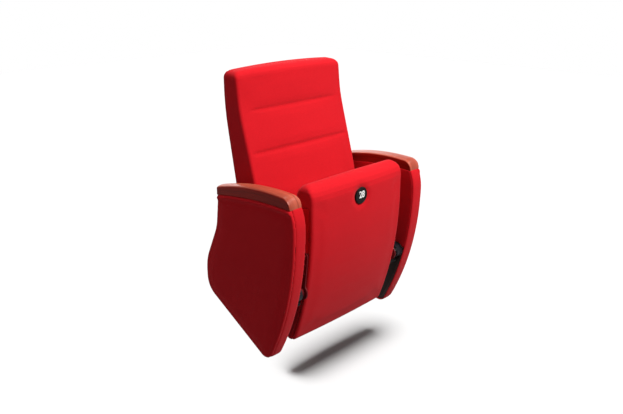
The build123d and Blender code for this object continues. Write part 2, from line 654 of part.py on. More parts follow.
def seat_bracket():
    """Side plate of the seat: disc and hub at the pivot, arm along the board, stop lug."""
    first, last = bracket_screw_places()[0], bracket_screw_places()[-1]
    end_z = last[1] + BRACKET_ARM_HALF
    arm = polygon(
        (PIVOT_Y - BRACKET_ARM_HALF - BRACKET_ARM_WIDER, PIVOT_Z),
        (PIVOT_Y + BRACKET_ARM_HALF, PIVOT_Z),
        (first[0] + BRACKET_ARM_HALF, first[1] - BRACKET_ARM_HALF),
        (last[0] + BRACKET_ARM_HALF, end_z),
        (last[0] - BRACKET_ARM_HALF, end_z),
    )
    tips = arm.vertices().filter_by(lambda v: v.Y > end_z - 1)
    arm = fillet(tips, BRACKET_ARM_HALF - 2)
    reach = STOP_RADIUS + STOP_SLEEVE_R
    lug = Pos(PIVOT_Y, PIVOT_Z) * Rot(0, 0, STOP_LUG_ANGLE) * Pos(reach / 2, 0) * Rectangle(reach, 2 * STOP_LUG_HALF)
    outline = arm + lug + Pos(PIVOT_Y, PIVOT_Z) * Circle(BRACKET_DISC_R)
    bracket = slab(outline, X_BRACKET, X_BRACKET_OUT)
    bracket += rod(PIVOT_Y, PIVOT_Z, HUB_R, X_BRACKET_OUT, X_BRACKET_OUT + HUB_LENGTH)
    bush_r = STUD_R + BUSH_PLAY + BUSH_WALL + BUSH_PLAY
    bracket -= rod(PIVOT_Y, PIVOT_Z, bush_r, X_BRACKET, X_BRACKET_OUT + HUB_LENGTH)
    bracket += [rod(y, z, BOSS_R, SEAT_BOARD_HALF, X_BRACKET) for y, z in bracket_screw_places()]
    bracket -= [rod(y, z, SCREW_R + HOLE_PLAY, SEAT_BOARD_HALF, X_BRACKET_OUT) for y, z in bracket_screw_places()]
    y, z = spring_leg_place(0)
    return bracket - rod(y, z, WIRE_R + 0.4, X_BRACKET, X_BRACKET_OUT)


def bracket_screws():
    """Flat-headed screws through the bracket into the board's edge."""
    tip = SEAT_BOARD_HALF - SCREW_LENGTH + BRACKET_SCREW_SHORT
    pieces = []
    for y, z in bracket_screw_places():
        screw = rod(y, z, SCREW_R, tip, X_BRACKET_OUT)
        pieces.append(screw + rod(y, z, SCREW_HEAD_R, X_BRACKET_OUT, X_BRACKET_OUT + BRACKET_SCREW_HEAD))
    return group(pieces)


def pivot_cover():
    """Black cup round the spring, seated on the stud's flange."""
    start = X_BRACKET_OUT + HUB_LENGTH + BUSH_WALL + 1
    wall = tube(PIVOT_Y, PIVOT_Z, COVER_R, COVER_R - COVER_WALL, start, X_IN)
    rim = wall.faces().sort_by(Axis.X)[0].edges().sort_by(SortBy.RADIUS)[-1]
    return chamfer(rim, 1.5)


def spring_start_x():
    return X_BRACKET_OUT + HUB_LENGTH + BUSH_WALL + COIL_END_GAP + WIRE_R


def spring_turned():
    """Angle through which the wire goes round, from the seat's leg to the stanchion's."""
    return 360 * COIL_TURNS


def spring_leg_place(turned):
    """Place of a leg, in side view: it lies one bend before or after the coil's end."""
    way = -1 if turned == 0 else 1
    angle = radians(turned)
    y = COIL_R * cos(angle) - way * LEG_BEND * sin(angle)
    z = COIL_R * sin(angle) + way * LEG_BEND * cos(angle)
    return PIVOT_Y + y, PIVOT_Z + z


def biarc(start, start_way, end, end_way):
    """Two arcs that leave and arrive along the given directions."""
    span = end - start
    ways = start_way + end_way
    a = 2 * (1 - start_way.dot(end_way))
    b = span.dot(ways)
    reach = (-b + sqrt(b * b + a * span.dot(span))) / a
    first, last = start + start_way * reach, end - end_way * reach
    middle = (first + last) * 0.5
    return [
        TangentArc(start, middle, tangent=start_way),
        TangentArc(middle, end, tangent=(last - first).normalized()),
    ]


def torsion_spring():
    """One wire: a leg into the seat bracket, the turns, and a leg into the stud's flange."""
    rise = COIL_PITCH / (2 * pi * COIL_R)
    start_x = spring_start_x()

    def spot(angle):
        a = radians(angle)
        return Vector(start_x + COIL_PITCH * angle / 360, PIVOT_Y + COIL_R * cos(a), PIVOT_Z + COIL_R * sin(a))

    def way(angle):
        a = radians(angle)
        return Vector(rise, -sin(a), cos(a)).normalized()

    along = Vector(1, 0, 0)
    total = spring_turned()
    seat_foot = Vector(spot(0).X - LEG_BEND, *spring_leg_place(0))
    frame_foot = Vector(spot(total).X + LEG_BEND, *spring_leg_place(total))
    edges = [Line(Vector(X_BRACKET + 1, seat_foot.Y, seat_foot.Z), seat_foot)]
    edges += biarc(seat_foot, along, spot(0), way(0))
    quarters = round(total / 90)
    for i in range(quarters):
        a, b = 90 * i, 90 * (i + 1)
        edges += biarc(spot(a), way(a), spot(b), way(b))
    edges += biarc(spot(total), way(total), frame_foot, along)
    edges.append(Line(frame_foot, Vector(X_CORE_IN - 1, frame_foot.Y, frame_foot.Z)))
    path = Wire(edges)
    samples = [(angle, spot(angle)) for angle in range(0, int(total) + 1, 15)]
    for angle, here in samples:
        for other_angle, there in samples:
            if other_angle - angle > 180:
                spring_gaps.append((there - here).length - 2 * WIRE_R)
    section = Plane(origin=path @ 0, z_dir=path % 0) * RegularPolygon(WIRE_R, WIRE_SIDES)
    return sweep(section, path=path)


# ---------------------------------------------------------------- stops
def stop_pins():
    """Two shouldered pins on the stanchion, their ends riveted behind the plate."""
    pins = []
    for y, z in stop_places():
        pin = rod(y, z, STOP_PIN_R, STOP_END_X, X_IN) + rod(y, z, STOP_COLLAR_R, X_IN, X_CORE_IN)
        pins.append(pin + rod(y, z, STOP_PIN_R - 1, X_CORE_IN, X_POCKET + 3))
    return group(pins)


def stop_sleeves():
    """Rubber sleeves that quiet the stops."""
    inner = STOP_PIN_R + HOLE_PLAY
    return group(tube(y, z, STOP_SLEEVE_R, inner, STOP_END_X, X_IN) for y, z in stop_places())


# ---------------------------------------------------------------- backrest
def backrest_front_y(z):
    """Front face at the middle: it leans back from the belly and turns upright at the neck."""
    up, top = z - BELLY_Z, z - NECK_Z
    belly = (SLOPE_MID - SLOPE_LOW) / 2
    neck = (SLOPE_HIGH - SLOPE_MID) / 2
    low_part = belly * (hypot(up, BELLY_SOFT) - up)
    high_part = neck * (hypot(top, NECK_SOFT) + top)
    return BELLY_Y + SLOPE_MID * up + low_part + high_part


def rear_lean():
    return (BACK_REAR_HIGH_Y - BACK_REAR_LOW_Y) / (BACK_REAR_TURN_Z - BACK_BOTTOM)


def backrest_rear_y(z):
    """Rear face: straight below, bent over a short height, then upright."""
    above = min(z - BACK_REAR_TURN_Z, REAR_BEND)
    if above < -REAR_BEND:
        return BACK_REAR_HIGH_Y + rear_lean() * above
    return BACK_REAR_HIGH_Y - rear_lean() * (REAR_BEND - above) ** 2 / (4 * REAR_BEND)


def rear_bend_heights():
    return [BACK_REAR_TURN_Z + REAR_BEND * share for share in REAR_BEND_SPOTS]


def channel_inset(z):
    """How far the sewn channels draw the front face in at this height."""
    away = min(abs(z - channel) for channel in CHANNEL_Z)
    return CHANNEL_DEPTH * max(0, 1 - away / CHANNEL_REACH) ** 2


def backrest_heights():
    heights = {BACK_BOTTOM + BACK_BOTTOM_ROUND, BACK_TOP - BACK_TOP_ROUND}
    heights |= {BELLY_Z + BELLY_SOFT * spot for spot in BELLY_SPOTS}
    for channel in CHANNEL_Z:
        heights |= {channel + side * CHANNEL_REACH * spot for side in (-1, 1) for spot in CHANNEL_SPOTS}
    heights |= {z for z in rear_bend_heights() if min(abs(z - other) for other in heights) > SECTION_STEP}
    return sorted(heights)


def backrest_envelope():
    """The whole upholstered backrest as one body, before it is divided."""
    corners = (BACK_CORNER, REAR_CORNER)
    sections = []
    for angle in (90, 55, 25):
        z = BACK_BOTTOM + BACK_BOTTOM_ROUND * (1 - sin(radians(angle)))
        inset = BACK_BOTTOM_ROUND * (1 - cos(radians(angle)))
        front, back = backrest_front_y(z) + inset, backrest_rear_y(z) - inset / 2
        sections.append(pillow_section(z, BACK_HALF - inset / 3, front, back, (BACK_CROWN, REAR_CROWN), corners))
    for z in backrest_heights():
        drawn_in = channel_inset(z)
        crowns = (BACK_CROWN - drawn_in, REAR_CROWN)
        front = backrest_front_y(z) + drawn_in
        sections.append(pillow_section(z, BACK_HALF, front, backrest_rear_y(z), crowns, corners))
    for angle in (25, 50, 72, 90):
        z = BACK_TOP - BACK_TOP_ROUND * (1 - sin(radians(angle)))
        share = 1 - cos(radians(angle))
        half = BACK_HALF - BACK_TOP_CORNER * share
        front, back = backrest_front_y(z) + BACK_TOP_ROUND * share, backrest_rear_y(z) - REAR_COVER * share
        sections.append(pillow_section(z, half, front, back, (BACK_CROWN, REAR_CROWN), corners))
    return loft(sections, ruled=True)


def backrest_strip(front_depth, rear_depth, low, high):
    """Side-view strip between two depths before the backrest's rear face."""
    heights = [low, *rear_bend_heights(), high]
    front = [(backrest_rear_y(z) - front_depth, z) for z in heights]
    rear = [(backrest_rear_y(z) - rear_depth, z) for z in reversed(heights)]
    return polygon(*front, *rear)


def board_limits():
    return BACK_BOTTOM + BACK_BOARD_MARGIN, BACK_TOP - BACK_BOARD_MARGIN


def backrest_board():
    strip = backrest_strip(REAR_COVER + BACK_BOARD, REAR_COVER, *board_limits())
    board = slab(strip, -BACK_BOARD_HALF, BACK_BOARD_HALF)
    return board - [cut for side in (-1, 1) for cut in board_screws(side, HOLE_PLAY)]


def backrest_halves():
    whole = backrest_envelope()
    wide = BACK_HALF + CUT_ROOM
    behind = slab(backrest_strip(REAR_COVER, -CUT_ROOM, BACK_BOTTOM - CUT_ROOM, BACK_TOP + CUT_ROOM), -wide, wide)
    low, high = board_limits()
    pocket = backrest_strip(REAR_COVER + BACK_BOARD, REAR_COVER - 1, low, high)
    cushion = whole - behind - slab(pocket, -BACK_BOARD_HALF, BACK_BOARD_HALF)
    cover = whole & behind
    for side in (-1, 1):
        cover -= bracket_arm(side, ARM_PLAY)
    return cushion, cover


def wing_face():
    outline = polygon(
        (WING_FRONT, WING_LOW), (WING_REAR - 12, WING_LOW), (WING_REAR, WING_HIGH), (WING_FRONT + 12, WING_HIGH)
    )
    return fillet(outline.vertices(), 6)


def bracket_arm(side=1, play=0):
    """Flat arm along the rear of the board, from inside the cover out to the wing."""
    low, high = WING_LOW + ARM_INSET - play, WING_HIGH - ARM_INSET + play
    strip = backrest_strip(REAR_COVER, REAR_COVER - ARM_T - play, low, BACK_TOP)
    rear, top = PANEL_REAR + CUT_ROOM, BACK_TOP + CUT_ROOM
    cut_off = polygon((0, high), (rear, high), (rear, top), (0, top))
    inner, outer = ARM_INNER_X - play, X_CORE_IN - WING
    if play:
        outer = BACK_HALF + CUT_ROOM
    return slab(strip - cut_off, side * inner, side * outer)


def backrest_bracket():
    bracket = slab(wing_face(), X_CORE_IN - WING, X_CORE_IN) + bracket_arm()
    bracket -= [rod(y, z, BOLT_R + HOLE_PLAY, X_CORE_IN - WING, X_CORE_IN) for y, z in WING_BOLTS]
    return bracket - board_screws(1, HOLE_PLAY)


def wing_bolts():
    x_seat = X_CORE_IN - WING
    return group(
        hex_bolt(y, z, x_seat, BOLT_R, BOLT_HEAD_R, BOLT_HEAD_T - 1, BEAM_BOLT_LENGTH) for y, z in WING_BOLTS
    )


def board_screws(side, play=0):
    """Countersunk screws from the bracket arm forward into the board, square to its face."""
    lean = degrees(atan(rear_lean()))
    length = ARM_T + BACK_BOARD - BOARD_SCREW_SHORT
    screw = flush_screw(BOARD_SCREW_HEAD_R + play, BOARD_SCREW_R + play, length)
    x = side * (ARM_INNER_X + BOARD_SCREW_X)
    pieces = []
    for z in (WING_LOW + BOARD_SCREW_Z, WING_HIGH - BOARD_SCREW_Z):
        y = backrest_rear_y(z) - REAR_COVER + ARM_T
        pieces.append(Pos(x, y, z) * Rot(-lean, 0, 0) * Rot(0, 0, -90) * screw)
    return pieces


def backrest_screws():
    return group(board_screws(-1) + board_screws(1))


# ---------------------------------------------------------------- all pieces
def main():
    os.makedirs("parts", exist_ok=True)
    home = Pos(0, -RISER_Y, -RISER_Z)
    seat_front, seat_back = seat_halves()
    back_front, back_rear = backrest_halves()
    single = {
        "cross_beam": cross_beam(),
        "backrest_board": backrest_board(),
        "backrest_cushion": back_front,
        "backrest_rear_cover": back_rear,
        "backrest_screws": backrest_screws(),
        "seat_board": seat_board(),
        "seat_cushion": seat_back,
        "seat_front_cover": seat_front,
        "number_plate": number_plate(),
    }
    paired = {
        "side_core": side_core(),
        "outer_pad": outer_pad(),
        "inner_pad": inner_pad(),
        "edge_band": edge_band(),
        "armrest": armrest(),
        "armrest_dowels": armrest_dowels(),
        "stanchion": stanchion(),
        "stanchion_screws": stanchion_screws(),
        "beam_end": beam_end(),
        "beam_bolts": beam_bolts(),
        "riser_plate": riser_plate(),
        "riser_gussets": riser_gussets(),
        "pivot_stud": pivot_stud(),
        "stud_nut": stud_nut(),
        "pivot_cover": pivot_cover(),
        "torsion_spring": torsion_spring(),
        "stop_pins": stop_pins(),
        "stop_sleeves": stop_sleeves(),
        "seat_bracket": seat_bracket(),
        "pivot_bush": pivot_bush(),
        "bracket_screws": bracket_screws(),
        "backrest_bracket": backrest_bracket(),
        "wing_bolts": wing_bolts(),
    }
    for name, shape in single.items():
        export_step(home * shape, f"parts/{name}.step")
    for name, shape in paired.items():
        export_step(home * shape, f"parts/{name}_right.step")
        export_step(home * mirror(shape, about=Plane.YZ), f"parts/{name}_left.step")
    print("least gap between the spring's turns, mm:", round(min(spring_gaps), 2))


main()
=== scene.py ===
import json
import math

import bpy
import numpy as np
from mathutils import Matrix, Vector
from mathutils.kdtree import KDTree


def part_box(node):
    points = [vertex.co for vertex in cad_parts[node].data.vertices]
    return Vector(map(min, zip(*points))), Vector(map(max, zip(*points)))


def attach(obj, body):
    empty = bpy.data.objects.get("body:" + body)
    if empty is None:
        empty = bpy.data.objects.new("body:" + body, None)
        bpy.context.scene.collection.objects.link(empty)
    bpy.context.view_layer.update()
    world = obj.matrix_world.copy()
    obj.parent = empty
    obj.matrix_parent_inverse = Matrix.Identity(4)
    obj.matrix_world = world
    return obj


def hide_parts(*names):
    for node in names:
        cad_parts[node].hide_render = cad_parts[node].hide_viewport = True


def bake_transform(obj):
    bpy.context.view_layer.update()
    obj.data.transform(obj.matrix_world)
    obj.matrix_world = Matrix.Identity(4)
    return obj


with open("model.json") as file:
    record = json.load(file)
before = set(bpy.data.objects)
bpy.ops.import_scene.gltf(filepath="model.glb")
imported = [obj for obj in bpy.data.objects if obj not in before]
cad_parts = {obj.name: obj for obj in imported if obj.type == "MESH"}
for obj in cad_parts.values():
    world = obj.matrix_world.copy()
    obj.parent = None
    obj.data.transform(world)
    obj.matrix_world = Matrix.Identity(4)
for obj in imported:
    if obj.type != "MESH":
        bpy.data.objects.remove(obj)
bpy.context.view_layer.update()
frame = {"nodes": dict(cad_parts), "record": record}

# A tip-up auditorium seat. Metres; x to the right, y to the back, z up, from the riser bolts.
scene = bpy.context.scene
scene.view_settings.view_transform = "Standard"
cadNodes = frame["nodes"]
print("frame loaded:", len(cadNodes), "nodes")


# camera, floor and lamps

camera = {
    "place": (-1.6386, -1.7475, 0.9875),
    "turn": 46.45,      # degrees to the right of straight ahead
    "down": 18.78,
    "lens": 41.29,
}

studio = {
    "floorHeight": -0.290,
    "floorSize": 14,
    "floorTone": (0.345, 0.345, 0.345, 1),
    "floorPatches": (0.355, 0.355, 0.355, 1),
    "patchScale": 3.0,
    "floorBounce": 0.22,        # how bright the floor is to the object, against what the camera sees
    "ambient": 0.036,           # strength of the world, which looks white but lights the object little
    "suns": {                   # light the floor alone; the outer two soften the shadow's edge
        "overhead": {"place": (-0.30, -0.36, 3.0), "energy": 7.2, "angle": 17},
        "fore": {"place": (-0.30, 0.00, 3.0), "energy": 1.1, "angle": 22},
        "aft": {"place": (-0.30, -0.82, 3.0), "energy": 1.1, "angle": 22},
    },
    "lamps": {
        "key": {"place": (0.42, -2.20, 2.45), "size": 1.5, "power": 101},
        "left": {"place": (-1.7, 0.2, 2.3), "size": 1.2, "power": 9},
        "top": {"place": (0.2, 0.4, 2.8), "size": 1.6, "power": 22},
        "glint": {"place": (1.5, -1.2, 2.0), "size": 0.5, "power": 8},
        "back": {"place": (2.0, 2.4, 1.7), "size": 2.0, "power": 26},
    },
    "aim": (0.0, -0.25, 0.25),
}


def pickNone():
    bpy.ops.object.select_all(action="DESELECT")


def pick(*objects):
    pickNone()
    for o in objects:
        o.select_set(True)
    bpy.context.view_layer.objects.active = objects[0]


def addNode(tree, kind, inputs=None, **settings):
    made = tree.nodes.new(kind)
    for key, value in settings.items():
        setattr(made, key, value)
    for key, value in (inputs or {}).items():
        if isinstance(value, bpy.types.NodeSocket):
            tree.links.new(value, made.inputs[key])
        else:
            made.inputs[key].default_value = value
    return made


def calculate(tree, operation, *values):
    made = tree.nodes.new("ShaderNodeMath")
    made.operation = operation
    for place, value in enumerate(values):
        if isinstance(value, bpy.types.NodeSocket):
            tree.links.new(value, made.inputs[place])
        else:
            made.inputs[place].default_value = value
    return made.outputs[0]


def mixColours(tree, share, first, second, clamp=True):
    made = addNode(tree, "ShaderNodeMix", {0: share, 6: first, 7: second}, data_type="RGBA", clamp_factor=clamp)
    return made.outputs[2]


def scaled(tree, vector, amount):
    return addNode(tree, "ShaderNodeVectorMath", {0: vector, "Scale": amount}, operation="SCALE").outputs[0]


def seenDirectly(tree):
    # 1 for rays from the camera and for what gloss and glass show
    rays = addNode(tree, "ShaderNodeLightPath").outputs
    gloss = calculate(tree, "MAXIMUM", rays["Is Glossy Ray"], rays["Is Transmission Ray"])
    return calculate(tree, "MAXIMUM", rays["Is Camera Ray"], gloss)


def addCamera():
    lens = bpy.data.cameras.new("photoCamera")
    lens.lens = camera["lens"]
    lens.sensor_width = 36
    lens.clip_start, lens.clip_end = 0.05, 100
    eye = bpy.data.objects.new("photoCamera", lens)
    scene.collection.objects.link(eye)
    eye.location = camera["place"]
    eye.rotation_euler = (math.radians(90 - camera["down"]), 0, math.radians(-camera["turn"]))
    scene.camera = eye


def addWorld():
    world = bpy.data.worlds.new("studioWorld")
    scene.world = world
    world.use_nodes = True
    tree = world.node_tree
    tree.nodes.clear()
    white = (1, 1, 1, 1)
    dim = addNode(tree, "ShaderNodeBackground", {"Color": white, "Strength": studio["ambient"]})
    full = addNode(tree, "ShaderNodeBackground", {"Color": white, "Strength": 1})
    shares = {0: seenDirectly(tree), 1: dim.outputs[0], 2: full.outputs[0]}
    both = addNode(tree, "ShaderNodeMixShader", shares)
    addNode(tree, "ShaderNodeOutputWorld", {"Surface": both.outputs[0]})


def addFloor():
    pickNone()
    bpy.ops.mesh.primitive_plane_add(size=studio["floorSize"], location=(0, 0, studio["floorHeight"]))
    floor = bpy.context.object
    floor.name = "floor"
    paint = bpy.data.materials.new("palePaint")
    paint.use_nodes = True
    tree = paint.node_tree
    tree.nodes.clear()
    patches = addNode(tree, "ShaderNodeTexNoise", {"Scale": studio["patchScale"], "Detail": 2.0}).outputs[0]
    tone = mixColours(tree, patches, studio["floorTone"], studio["floorPatches"])
    gain = calculate(tree, "MULTIPLY_ADD", seenDirectly(tree), 1 - studio["floorBounce"], studio["floorBounce"])
    matt = addNode(tree, "ShaderNodeBsdfDiffuse", {"Color": scaled(tree, tone, gain)})
    addNode(tree, "ShaderNodeOutputMaterial", {"Surface": matt.outputs[0]})
    floor.data.materials.append(paint)
    return floor


def lightOnly(lamp, name, objects, state):
    # the lamp reaches these objects alone, or all but these
    group = bpy.data.collections.new(name)
    for o in objects:
        group.objects.link(o)
    for entry in group.collection_objects:
        entry.light_linking.link_state = state
    lamp.light_linking.receiver_collection = group


def addLamps(floor):
    aim = Vector(studio["aim"])
    for name, lamp in studio["lamps"].items():
        light = bpy.data.lights.new(name, "AREA")
        light.shape = "DISK"
        light.size = lamp["size"]
        light.energy = lamp["power"]
        holder = bpy.data.objects.new(name, light)
        scene.collection.objects.link(holder)
        holder.location = lamp["place"]
        holder.rotation_euler = (aim - holder.location).to_track_quat("-Z", "Y").to_euler()
        lightOnly(holder, name + "Targets", [floor], "EXCLUDE")
    for name, sun in studio["suns"].items():
        light = bpy.data.lights.new(name, "SUN")
        light.energy = sun["energy"]
        light.angle = math.radians(sun["angle"])
        holder = bpy.data.objects.new(name, light)
        scene.collection.objects.link(holder)
        holder.location = sun["place"]
        holder.rotation_euler = (-holder.location).to_track_quat("-Z", "Y").to_euler()
        lightOnly(holder, name + "Targets", [floor], "INCLUDE")


def shadowOnly(pieces):
    # the shadow on the floor is that of the seat, the piece nearest to it
    group = bpy.data.collections.new("shadowCasters")
    for o in pieces:
        group.objects.link(o)
    for name in studio["suns"]:
        bpy.data.objects[name].light_linking.blocker_collection = group


addCamera()
addWorld()
stageFloor = addFloor()
addLamps(stageFloor)
print("camera, floor and lamps placed")


# finishes

fabric = {
    "bright": (0.76, 0.012, 0.020, 1),
    "deep": (0.56, 0.006, 0.012, 1),
    "thread": 0.0016,           # pitch of the weave
    "wander": 0.0008,           # how far the threads stray from straight lines, and how often
    "wanderScale": 45.0,
    "weaveHeight": 0.00022,
    "fibreHeight": 0.00010,
    "fibreScale": 1400.0,
    "patchScale": 7.0,          # slow change of colour over the cloth, and the mottle of its pile
    "mottleScale": 160.0,
    "middle": 0.44,             # share of the bright tone, and how much each pattern changes it
    "threadShare": 0.16,
    "patchShare": 0.42,
    "mottleShare": 0.40,
    "roughness": 0.86,
    "unevenRoughness": 0.14,
    "sheen": 0.22,
    "sheenRoughness": 0.45,
    "sheenTint": (1.0, 0.34, 0.36, 1),
    "specular": 0.08,
}

wood = {
    "light": (0.545, 0.107, 0.060, 1),
    "dark": (0.290, 0.040, 0.018, 1),
    "paintedSideShade": (0.70, 0.18, 0.165, 1),     # painted shade: faces turned sideways are painted darker and redder than the top
    "across": 75.0,             # fineness of the grain across and along the arm, and of its pores
    "along": 3.5,
    "pores": 7.0,
    "poreDepth": 0.00006,
    "poreShare": 0.5,           # how much the pores darken the wood
    "bend": 1.74,               # the grain follows the arm's bow, about twice its radius
    "bendMiddle": -0.31,
    "roughness": 0.36,
    "unevenRoughness": 0.16,
    "coat": 0.24,               # lacquer on the top and front, rubbed bright by hands; the sides have none
    "coatRoughness": 0.26,
    "specular": 0.08,
}

# painted shade: the core's grain is the wood's own, but its dark red-brown colour stands in for the shade on
# the lower inner side of the panels
coreShade = {
    "light": (0.060, 0.020, 0.014, 1),
    "dark": (0.022, 0.009, 0.007, 1),
    "grain": (90.0, 90.0, 6.0),     # fineness along each axis; the grain stands upright
    "pores": 6.0,
    "poreDepth": 0.0001,
    "roughness": 0.55,
    "specular": 0.25,
}

plywood = {
    "light": (0.66, 0.50, 0.32, 1),
    "dark": (0.46, 0.31, 0.17, 1),
    "veneer": 0.0014,               # thickness of a layer, and how much the layers show
    "layerShare": 0.16,
    "grain": (8.0, 120.0, 120.0),
    "grainDepth": 0.0001,
    "roughness": 0.6,
}

coatings = {
    "black_steel": {"tone": (0.016, 0.009, 0.008, 1), "other": (0.027, 0.015, 0.012, 1), "metal": 0.0,
                    "roughness": 0.55, "uneven": 0.10, "scale": 420.0, "height": 0.00008, "specular": 0.14},
    "red_steel": {"tone": (0.170, 0.006, 0.009, 1), "other": (0.120, 0.004, 0.006, 1), "metal": 0.0,
                  "roughness": 0.62, "uneven": 0.10, "scale": 420.0, "height": 0.00008, "specular": 0.15},
    "zinc_steel": {"tone": (0.36, 0.36, 0.35, 1), "other": (0.24, 0.25, 0.25, 1), "metal": 1.0,
                   "roughness": 0.38, "uneven": 0.14, "scale": 160.0, "height": 0.00003, "specular": 0.5},
    "spring_steel": {"tone": (0.22, 0.22, 0.23, 1), "other": (0.14, 0.13, 0.12, 1), "metal": 1.0,
                     "roughness": 0.32, "uneven": 0.12, "scale": 240.0, "height": 0.00002, "specular": 0.5},
    "black_plastic": {"tone": (0.010, 0.008, 0.011, 1), "other": (0.018, 0.014, 0.019, 1), "metal": 0.0,
                      "roughness": 0.50, "uneven": 0.08, "scale": 900.0, "height": 0.00005, "specular": 0.10},
    "nylon": {"tone": (0.94, 0.93, 0.91, 1), "other": (0.88, 0.87, 0.84, 1), "metal": 0.0,
              "roughness": 0.45, "uneven": 0.08, "scale": 200.0, "height": 0.00002, "specular": 0.4},
    "black_rubber": {"tone": (0.012, 0.012, 0.012, 1), "other": (0.022, 0.021, 0.020, 1), "metal": 0.0,
                     "roughness": 0.80, "uneven": 0.10, "scale": 600.0, "height": 0.00006, "specular": 0.2},
    "number_black": {"tone": (0.006, 0.005, 0.005, 1), "other": (0.012, 0.010, 0.009, 1), "metal": 0.0,
                     "roughness": 0.30, "uneven": 0.06, "scale": 90.0, "height": 0.00001, "specular": 0.05},
}


def newMaterial(name):
    made = bpy.data.materials.new(name)
    made.use_nodes = True
    made.node_tree.nodes.clear()
    return made, made.node_tree


def addNoise(tree, place, scale, detail, **inputs):
    return addNode(tree, "ShaderNodeTexNoise", {"Vector": place, "Scale": scale, "Detail": detail, **inputs})


def addBump(tree, height, distance, strength, **inputs):
    sockets = {"Height": height, "Distance": distance, "Strength": strength, **inputs}
    return addNode(tree, "ShaderNodeBump", sockets).outputs[0]


def around(tree, pattern, spread, middle):
    # a pattern from 0 to 1 made into one of the given spread about the middle
    return calculate(tree, "MULTIPLY_ADD", pattern, spread, middle - spread / 2)


def finishShader(tree, colour, roughness, bump, sockets):
    inputs = {"Base Color": colour, "Roughness": roughness, "Normal": bump}
    inputs.update(sockets)
    shader = addNode(tree, "ShaderNodeBsdfPrincipled", inputs)
    addNode(tree, "ShaderNodeOutputMaterial", {"Surface": shader.outputs[0]})


def makeFabric():
    made, tree = newMaterial("redWovenCloth")
    place = addNode(tree, "ShaderNodeTexCoord").outputs
    drift = addNoise(tree, place["Object"], fabric["wanderScale"], 2.0).outputs["Color"]
    wander = scaled(tree, drift, fabric["wander"])
    moved = addNode(tree, "ShaderNodeVectorMath", {0: place["Object"], 1: wander}, operation="ADD")
    axes = addNode(tree, "ShaderNodeSeparateXYZ", {0: moved.outputs[0]}).outputs
    facing = addNode(tree, "ShaderNodeSeparateXYZ", {0: place["Normal"]}).outputs
    turns = [calculate(tree, "MULTIPLY", axes[i], math.pi / fabric["thread"]) for i in range(3)]
    waves = [calculate(tree, "SINE", turn) for turn in turns]
    height = None
    for i in range(3):
        crossing = calculate(tree, "MULTIPLY", waves[(i + 1) % 3], waves[(i + 2) % 3])
        share = calculate(tree, "MULTIPLY", facing[i], facing[i])
        part = calculate(tree, "MULTIPLY", crossing, share)
        height = part if height is None else calculate(tree, "ADD", height, part)
    fibre = addNoise(tree, place["Object"], fabric["fibreScale"], 3.0, Roughness=0.7).outputs[0]
    patch = addNoise(tree, place["Object"], fabric["patchScale"], 4.0).outputs[0]
    mottle = addNoise(tree, place["Object"], fabric["mottleScale"], 3.0).outputs[0]
    threadLight = calculate(tree, "MULTIPLY_ADD", height, fabric["threadShare"], fabric["middle"])
    patchLight = around(tree, patch, fabric["patchShare"], 0)
    mottleLight = around(tree, mottle, fabric["mottleShare"], 0)
    light = calculate(tree, "ADD", threadLight, calculate(tree, "ADD", patchLight, mottleLight))
    tone = mixColours(tree, light, fabric["deep"], fabric["bright"], clamp=False)
    weave = addBump(tree, height, fabric["weaveHeight"], 0.8)
    fuzz = addBump(tree, fibre, fabric["fibreHeight"], 0.7, Normal=weave)
    rough = around(tree, fibre, fabric["unevenRoughness"], fabric["roughness"])
    finishShader(tree, tone, rough, fuzz, {
        "Sheen Weight": fabric["sheen"],
        "Sheen Roughness": fabric["sheenRoughness"],
        "Sheen Tint": fabric["sheenTint"],
        "Specular IOR Level": fabric["specular"],
    })
    return made


def grainPattern(tree, place, fine):
    # long figure with pores, for coordinates that are already stretched along the grain
    figure = addNoise(tree, place, 1.0, 5.0, Roughness=0.6, Distortion=0.8)
    pores = addNoise(tree, place, fine, 2.0)
    return figure.outputs[0], pores.outputs[0]


def addRange(tree, value, low, high):
    # 0 at low, 1 at high
    return addNode(tree, "ShaderNodeMapRange", {"Value": value, "From Min": low, "From Max": high}).outputs[0]


